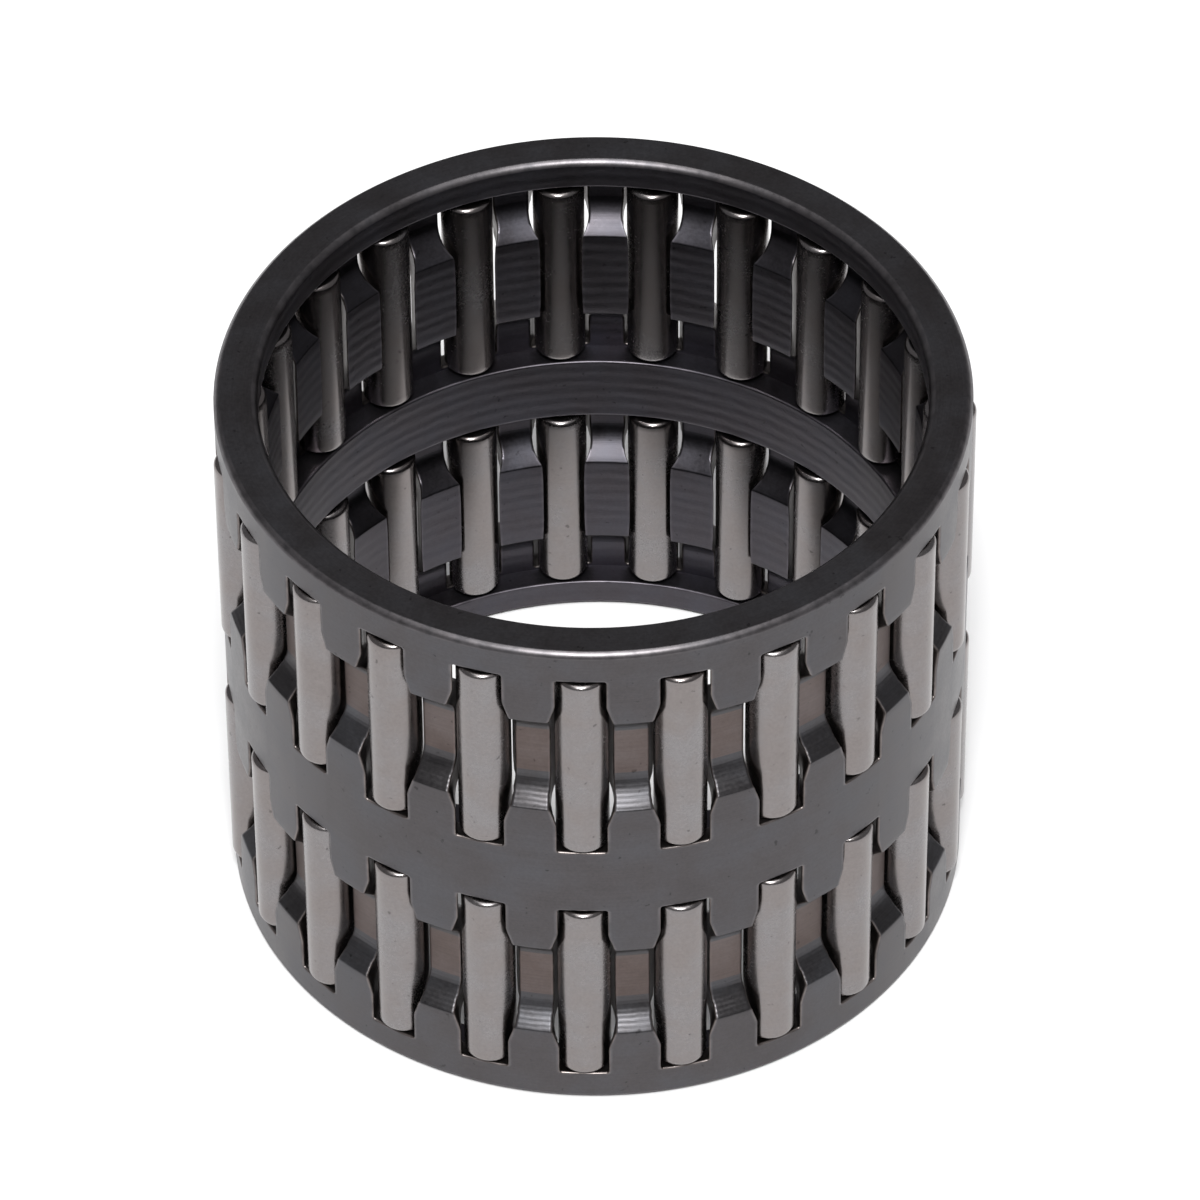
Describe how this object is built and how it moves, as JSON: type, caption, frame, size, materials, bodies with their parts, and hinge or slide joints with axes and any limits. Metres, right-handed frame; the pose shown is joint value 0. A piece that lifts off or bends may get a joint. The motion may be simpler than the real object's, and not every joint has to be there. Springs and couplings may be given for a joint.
{
  "type": "needle roller bearing",
  "caption": "Double-row needle roller and cage assembly: a turned steel cage with pocketed needle rollers that runs between a shaft and a housing.",
  "frame": {"origin": "middle of the cage's bottom end face, on the bearing axis", "axes": "+Z along the bearing axis towards the top end face; -Y towards roller 01 of each row, which faces the viewer"},
  "size_m": [0.0348, 0.0348, 0.029],
  "materials": {
    "cage_steel": "dark satin, oiled, with fine turning marks",
    "roller_steel": "ground satin"
  },
  "bodies": {
    "cage": {"cage": "cage_steel"},
    "roller_lower_01": {"roller_lower_01": "roller_steel"},
    "roller_lower_02": {"roller_lower_02": "roller_steel"},
    "roller_lower_03": {"roller_lower_03": "roller_steel"},
    "roller_lower_04": {"roller_lower_04": "roller_steel"},
    "roller_lower_05": {"roller_lower_05": "roller_steel"},
    "roller_lower_06": {"roller_lower_06": "roller_steel"},
    "roller_lower_07": {"roller_lower_07": "roller_steel"},
    "roller_lower_08": {"roller_lower_08": "roller_steel"},
    "roller_lower_09": {"roller_lower_09": "roller_steel"},
    "roller_lower_10": {"roller_lower_10": "roller_steel"},
    "roller_lower_11": {"roller_lower_11": "roller_steel"},
    "roller_lower_12": {"roller_lower_12": "roller_steel"},
    "roller_lower_13": {"roller_lower_13": "roller_steel"},
    "roller_lower_14": {"roller_lower_14": "roller_steel"},
    "roller_lower_15": {"roller_lower_15": "roller_steel"},
    "roller_lower_16": {"roller_lower_16": "roller_steel"},
    "roller_lower_17": {"roller_lower_17": "roller_steel"},
    "roller_lower_18": {"roller_lower_18": "roller_steel"},
    "roller_lower_19": {"roller_lower_19": "roller_steel"},
    "roller_lower_20": {"roller_lower_20": "roller_steel"},
    "roller_lower_21": {"roller_lower_21": "roller_steel"},
    "roller_lower_22": {"roller_lower_22": "roller_steel"},
    "roller_lower_23": {"roller_lower_23": "roller_steel"},
    "roller_upper_01": {"roller_upper_01": "roller_steel"},
    "roller_upper_02": {"roller_upper_02": "roller_steel"},
    "roller_upper_03": {"roller_upper_03": "roller_steel"},
    "roller_upper_04": {"roller_upper_04": "roller_steel"},
    "roller_upper_05": {"roller_upper_05": "roller_steel"},
    "roller_upper_06": {"roller_upper_06": "roller_steel"},
    "roller_upper_07": {"roller_upper_07": "roller_steel"},
    "roller_upper_08": {"roller_upper_08": "roller_steel"},
    "roller_upper_09": {"roller_upper_09": "roller_steel"},
    "roller_upper_10": {"roller_upper_10": "roller_steel"},
    "roller_upper_11": {"roller_upper_11": "roller_steel"},
    "roller_upper_12": {"roller_upper_12": "roller_steel"},
    "roller_upper_13": {"roller_upper_13": "roller_steel"},
    "roller_upper_14": {"roller_upper_14": "roller_steel"},
    "roller_upper_15": {"roller_upper_15": "roller_steel"},
    "roller_upper_16": {"roller_upper_16": "roller_steel"},
    "roller_upper_17": {"roller_upper_17": "roller_steel"},
    "roller_upper_18": {"roller_upper_18": "roller_steel"},
    "roller_upper_19": {"roller_upper_19": "roller_steel"},
    "roller_upper_20": {"roller_upper_20": "roller_steel"},
    "roller_upper_21": {"roller_upper_21": "roller_steel"},
    "roller_upper_22": {"roller_upper_22": "roller_steel"},
    "roller_upper_23": {"roller_upper_23": "roller_steel"}
  },
  "joints": [
    {"name": "roller_lower_01_spin", "type": "hinge", "parent": "cage", "child": "roller_lower_01", "pos_m": [0, -0.01625, 0.00715], "axis": [0, 0, 1], "continuous": true},
    {"name": "roller_lower_02_spin", "type": "hinge", "parent": "cage", "child": "roller_lower_02", "pos_m": [0.00438, -0.01565, 0.00715], "axis": [0, 0, 1], "continuous": true},
    {"name": "roller_lower_03_spin", "type": "hinge", "parent": "cage", "child": "roller_lower_03", "pos_m": [0.00844, -0.01388, 0.00715], "axis": [0, 0, 1], "continuous": true},
    {"name": "roller_lower_04_spin", "type": "hinge", "parent": "cage", "child": "roller_lower_04", "pos_m": [0.01188, -0.01109, 0.00715], "axis": [0, 0, 1], "continuous": true},
    {"name": "roller_lower_05_spin", "type": "hinge", "parent": "cage", "child": "roller_lower_05", "pos_m": [0.01443, -0.00748, 0.00715], "axis": [0, 0, 1], "continuous": true},
    {"name": "roller_lower_06_spin", "type": "hinge", "parent": "cage", "child": "roller_lower_06", "pos_m": [0.01591, -0.00331, 0.00715], "axis": [0, 0, 1], "continuous": true},
    {"name": "roller_lower_07_spin", "type": "hinge", "parent": "cage", "child": "roller_lower_07", "pos_m": [0.01621, 0.00111, 0.00715], "axis": [0, 0, 1], "continuous": true},
    {"name": "roller_lower_08_spin", "type": "hinge", "parent": "cage", "child": "roller_lower_08", "pos_m": [0.01531, 0.00544, 0.00715], "axis": [0, 0, 1], "continuous": true},
    {"name": "roller_lower_09_spin", "type": "hinge", "parent": "cage", "child": "roller_lower_09", "pos_m": [0.01328, 0.00937, 0.00715], "axis": [0, 0, 1], "continuous": true},
    {"name": "roller_lower_10_spin", "type": "hinge", "parent": "cage", "child": "roller_lower_10", "pos_m": [0.01026, 0.01261, 0.00715], "axis": [0, 0, 1], "continuous": true},
    {"name": "roller_lower_11_spin", "type": "hinge", "parent": "cage", "child": "roller_lower_11", "pos_m": [0.00647, 0.0149, 0.00715], "axis": [0, 0, 1], "continuous": true},
    {"name": "roller_lower_12_spin", "type": "hinge", "parent": "cage", "child": "roller_lower_12", "pos_m": [0.00221, 0.0161, 0.00715], "axis": [0, 0, 1], "continuous": true},
    {"name": "roller_lower_13_spin", "type": "hinge", "parent": "cage", "child": "roller_lower_13", "pos_m": [-0.00221, 0.0161, 0.00715], "axis": [0, 0, 1], "continuous": true},
    {"name": "roller_lower_14_spin", "type": "hinge", "parent": "cage", "child": "roller_lower_14", "pos_m": [-0.00647, 0.0149, 0.00715], "axis": [0, 0, 1], "continuous": true},
    {"name": "roller_lower_15_spin", "type": "hinge", "parent": "cage", "child": "roller_lower_15", "pos_m": [-0.01026, 0.01261, 0.00715], "axis": [0, 0, 1], "continuous": true},
    {"name": "roller_lower_16_spin", "type": "hinge", "parent": "cage", "child": "roller_lower_16", "pos_m": [-0.01328, 0.00937, 0.00715], "axis": [0, 0, 1], "continuous": true},
    {"name": "roller_lower_17_spin", "type": "hinge", "parent": "cage", "child": "roller_lower_17", "pos_m": [-0.01531, 0.00544, 0.00715], "axis": [0, 0, 1], "continuous": true},
    {"name": "roller_lower_18_spin", "type": "hinge", "parent": "cage", "child": "roller_lower_18", "pos_m": [-0.01621, 0.00111, 0.00715], "axis": [0, 0, 1], "continuous": true},
    {"name": "roller_lower_19_spin", "type": "hinge", "parent": "cage", "child": "roller_lower_19", "pos_m": [-0.01591, -0.00331, 0.00715], "axis": [0, 0, 1], "continuous": true},
    {"name": "roller_lower_20_spin", "type": "hinge", "parent": "cage", "child": "roller_lower_20", "pos_m": [-0.01443, -0.00748, 0.00715], "axis": [0, 0, 1], "continuous": true},
    {"name": "roller_lower_21_spin", "type": "hinge", "parent": "cage", "child": "roller_lower_21", "pos_m": [-0.01188, -0.01109, 0.00715], "axis": [0, 0, 1], "continuous": true},
    {"name": "roller_lower_22_spin", "type": "hinge", "parent": "cage", "child": "roller_lower_22", "pos_m": [-0.00844, -0.01388, 0.00715], "axis": [0, 0, 1], "continuous": true},
    {"name": "roller_lower_23_spin", "type": "hinge", "parent": "cage", "child": "roller_lower_23", "pos_m": [-0.00438, -0.01565, 0.00715], "axis": [0, 0, 1], "continuous": true},
    {"name": "roller_upper_01_spin", "type": "hinge", "parent": "cage", "child": "roller_upper_01", "pos_m": [0, -0.01625, 0.02185], "axis": [0, 0, 1], "continuous": true},
    {"name": "roller_upper_02_spin", "type": "hinge", "parent": "cage", "child": "roller_upper_02", "pos_m": [0.00438, -0.01565, 0.02185], "axis": [0, 0, 1], "continuous": true},
    {"name": "roller_upper_03_spin", "type": "hinge", "parent": "cage", "child": "roller_upper_03", "pos_m": [0.00844, -0.01388, 0.02185], "axis": [0, 0, 1], "continuous": true},
    {"name": "roller_upper_04_spin", "type": "hinge", "parent": "cage", "child": "roller_upper_04", "pos_m": [0.01188, -0.01109, 0.02185], "axis": [0, 0, 1], "continuous": true},
    {"name": "roller_upper_05_spin", "type": "hinge", "parent": "cage", "child": "roller_upper_05", "pos_m": [0.01443, -0.00748, 0.02185], "axis": [0, 0, 1], "continuous": true},
    {"name": "roller_upper_06_spin", "type": "hinge", "parent": "cage", "child": "roller_upper_06", "pos_m": [0.01591, -0.00331, 0.02185], "axis": [0, 0, 1], "continuous": true},
    {"name": "roller_upper_07_spin", "type": "hinge", "parent": "cage", "child": "roller_upper_07", "pos_m": [0.01621, 0.00111, 0.02185], "axis": [0, 0, 1], "continuous": true},
    {"name": "roller_upper_08_spin", "type": "hinge", "parent": "cage", "child": "roller_upper_08", "pos_m": [0.01531, 0.00544, 0.02185], "axis": [0, 0, 1], "continuous": true},
    {"name": "roller_upper_09_spin", "type": "hinge", "parent": "cage", "child": "roller_upper_09", "pos_m": [0.01328, 0.00937, 0.02185], "axis": [0, 0, 1], "continuous": true},
    {"name": "roller_upper_10_spin", "type": "hinge", "parent": "cage", "child": "roller_upper_10", "pos_m": [0.01026, 0.01261, 0.02185], "axis": [0, 0, 1], "continuous": true},
    {"name": "roller_upper_11_spin", "type": "hinge", "parent": "cage", "child": "roller_upper_11", "pos_m": [0.00647, 0.0149, 0.02185], "axis": [0, 0, 1], "continuous": true},
    {"name": "roller_upper_12_spin", "type": "hinge", "parent": "cage", "child": "roller_upper_12", "pos_m": [0.00221, 0.0161, 0.02185], "axis": [0, 0, 1], "continuous": true},
    {"name": "roller_upper_13_spin", "type": "hinge", "parent": "cage", "child": "roller_upper_13", "pos_m": [-0.00221, 0.0161, 0.02185], "axis": [0, 0, 1], "continuous": true},
    {"name": "roller_upper_14_spin", "type": "hinge", "parent": "cage", "child": "roller_upper_14", "pos_m": [-0.00647, 0.0149, 0.02185], "axis": [0, 0, 1], "continuous": true},
    {"name": "roller_upper_15_spin", "type": "hinge", "parent": "cage", "child": "roller_upper_15", "pos_m": [-0.01026, 0.01261, 0.02185], "axis": [0, 0, 1], "continuous": true},
    {"name": "roller_upper_16_spin", "type": "hinge", "parent": "cage", "child": "roller_upper_16", "pos_m": [-0.01328, 0.00937, 0.02185], "axis": [0, 0, 1], "continuous": true},
    {"name": "roller_upper_17_spin", "type": "hinge", "parent": "cage", "child": "roller_upper_17", "pos_m": [-0.01531, 0.00544, 0.02185], "axis": [0, 0, 1], "continuous": true},
    {"name": "roller_upper_18_spin", "type": "hinge", "parent": "cage", "child": "roller_upper_18", "pos_m": [-0.01621, 0.00111, 0.02185], "axis": [0, 0, 1], "continuous": true},
    {"name": "roller_upper_19_spin", "type": "hinge", "parent": "cage", "child": "roller_upper_19", "pos_m": [-0.01591, -0.00331, 0.02185], "axis": [0, 0, 1], "continuous": true},
    {"name": "roller_upper_20_spin", "type": "hinge", "parent": "cage", "child": "roller_upper_20", "pos_m": [-0.01443, -0.00748, 0.02185], "axis": [0, 0, 1], "continuous": true},
    {"name": "roller_upper_21_spin", "type": "hinge", "parent": "cage", "child": "roller_upper_21", "pos_m": [-0.01188, -0.01109, 0.02185], "axis": [0, 0, 1], "continuous": true},
    {"name": "roller_upper_22_spin", "type": "hinge", "parent": "cage", "child": "roller_upper_22", "pos_m": [-0.00844, -0.01388, 0.02185], "axis": [0, 0, 1], "continuous": true},
    {"name": "roller_upper_23_spin", "type": "hinge", "parent": "cage", "child": "roller_upper_23", "pos_m": [-0.00438, -0.01565, 0.02185], "axis": [0, 0, 1], "continuous": true}
  ],
  "couplings": [
    {"joint": "roller_lower_01_spin", "follows": "roller_upper_01_spin", "ratio": 1},
    {"joint": "roller_lower_02_spin", "follows": "roller_upper_01_spin", "ratio": 1},
    {"joint": "roller_lower_03_spin", "follows": "roller_upper_01_spin", "ratio": 1},
    {"joint": "roller_lower_04_spin", "follows": "roller_upper_01_spin", "ratio": 1},
    {"joint": "roller_lower_05_spin", "follows": "roller_upper_01_spin", "ratio": 1},
    {"joint": "roller_lower_06_spin", "follows": "roller_upper_01_spin", "ratio": 1},
    {"joint": "roller_lower_07_spin", "follows": "roller_upper_01_spin", "ratio": 1},
    {"joint": "roller_lower_08_spin", "follows": "roller_upper_01_spin", "ratio": 1},
    {"joint": "roller_lower_09_spin", "follows": "roller_upper_01_spin", "ratio": 1},
    {"joint": "roller_lower_10_spin", "follows": "roller_upper_01_spin", "ratio": 1},
    {"joint": "roller_lower_11_spin", "follows": "roller_upper_01_spin", "ratio": 1},
    {"joint": "roller_lower_12_spin", "follows": "roller_upper_01_spin", "ratio": 1},
    {"joint": "roller_lower_13_spin", "follows": "roller_upper_01_spin", "ratio": 1},
    {"joint": "roller_lower_14_spin", "follows": "roller_upper_01_spin", "ratio": 1},
    {"joint": "roller_lower_15_spin", "follows": "roller_upper_01_spin", "ratio": 1},
    {"joint": "roller_lower_16_spin", "follows": "roller_upper_01_spin", "ratio": 1},
    {"joint": "roller_lower_17_spin", "follows": "roller_upper_01_spin", "ratio": 1},
    {"joint": "roller_lower_18_spin", "follows": "roller_upper_01_spin", "ratio": 1},
    {"joint": "roller_lower_19_spin", "follows": "roller_upper_01_spin", "ratio": 1},
    {"joint": "roller_lower_20_spin", "follows": "roller_upper_01_spin", "ratio": 1},
    {"joint": "roller_lower_21_spin", "follows": "roller_upper_01_spin", "ratio": 1},
    {"joint": "roller_lower_22_spin", "follows": "roller_upper_01_spin", "ratio": 1},
    {"joint": "roller_lower_23_spin", "follows": "roller_upper_01_spin", "ratio": 1},
    {"joint": "roller_upper_02_spin", "follows": "roller_upper_01_spin", "ratio": 1},
    {"joint": "roller_upper_03_spin", "follows": "roller_upper_01_spin", "ratio": 1},
    {"joint": "roller_upper_04_spin", "follows": "roller_upper_01_spin", "ratio": 1},
    {"joint": "roller_upper_05_spin", "follows": "roller_upper_01_spin", "ratio": 1},
    {"joint": "roller_upper_06_spin", "follows": "roller_upper_01_spin", "ratio": 1},
    {"joint": "roller_upper_07_spin", "follows": "roller_upper_01_spin", "ratio": 1},
    {"joint": "roller_upper_08_spin", "follows": "roller_upper_01_spin", "ratio": 1},
    {"joint": "roller_upper_09_spin", "follows": "roller_upper_01_spin", "ratio": 1},
    {"joint": "roller_upper_10_spin", "follows": "roller_upper_01_spin", "ratio": 1},
    {"joint": "roller_upper_11_spin", "follows": "roller_upper_01_spin", "ratio": 1},
    {"joint": "roller_upper_12_spin", "follows": "roller_upper_01_spin", "ratio": 1},
    {"joint": "roller_upper_13_spin", "follows": "roller_upper_01_spin", "ratio": 1},
    {"joint": "roller_upper_14_spin", "follows": "roller_upper_01_spin", "ratio": 1},
    {"joint": "roller_upper_15_spin", "follows": "roller_upper_01_spin", "ratio": 1},
    {"joint": "roller_upper_16_spin", "follows": "roller_upper_01_spin", "ratio": 1},
    {"joint": "roller_upper_17_spin", "follows": "roller_upper_01_spin", "ratio": 1},
    {"joint": "roller_upper_18_spin", "follows": "roller_upper_01_spin", "ratio": 1},
    {"joint": "roller_upper_19_spin", "follows": "roller_upper_01_spin", "ratio": 1},
    {"joint": "roller_upper_20_spin", "follows": "roller_upper_01_spin", "ratio": 1},
    {"joint": "roller_upper_21_spin", "follows": "roller_upper_01_spin", "ratio": 1},
    {"joint": "roller_upper_22_spin", "follows": "roller_upper_01_spin", "ratio": 1},
    {"joint": "roller_upper_23_spin", "follows": "roller_upper_01_spin", "ratio": 1}
  ]
}
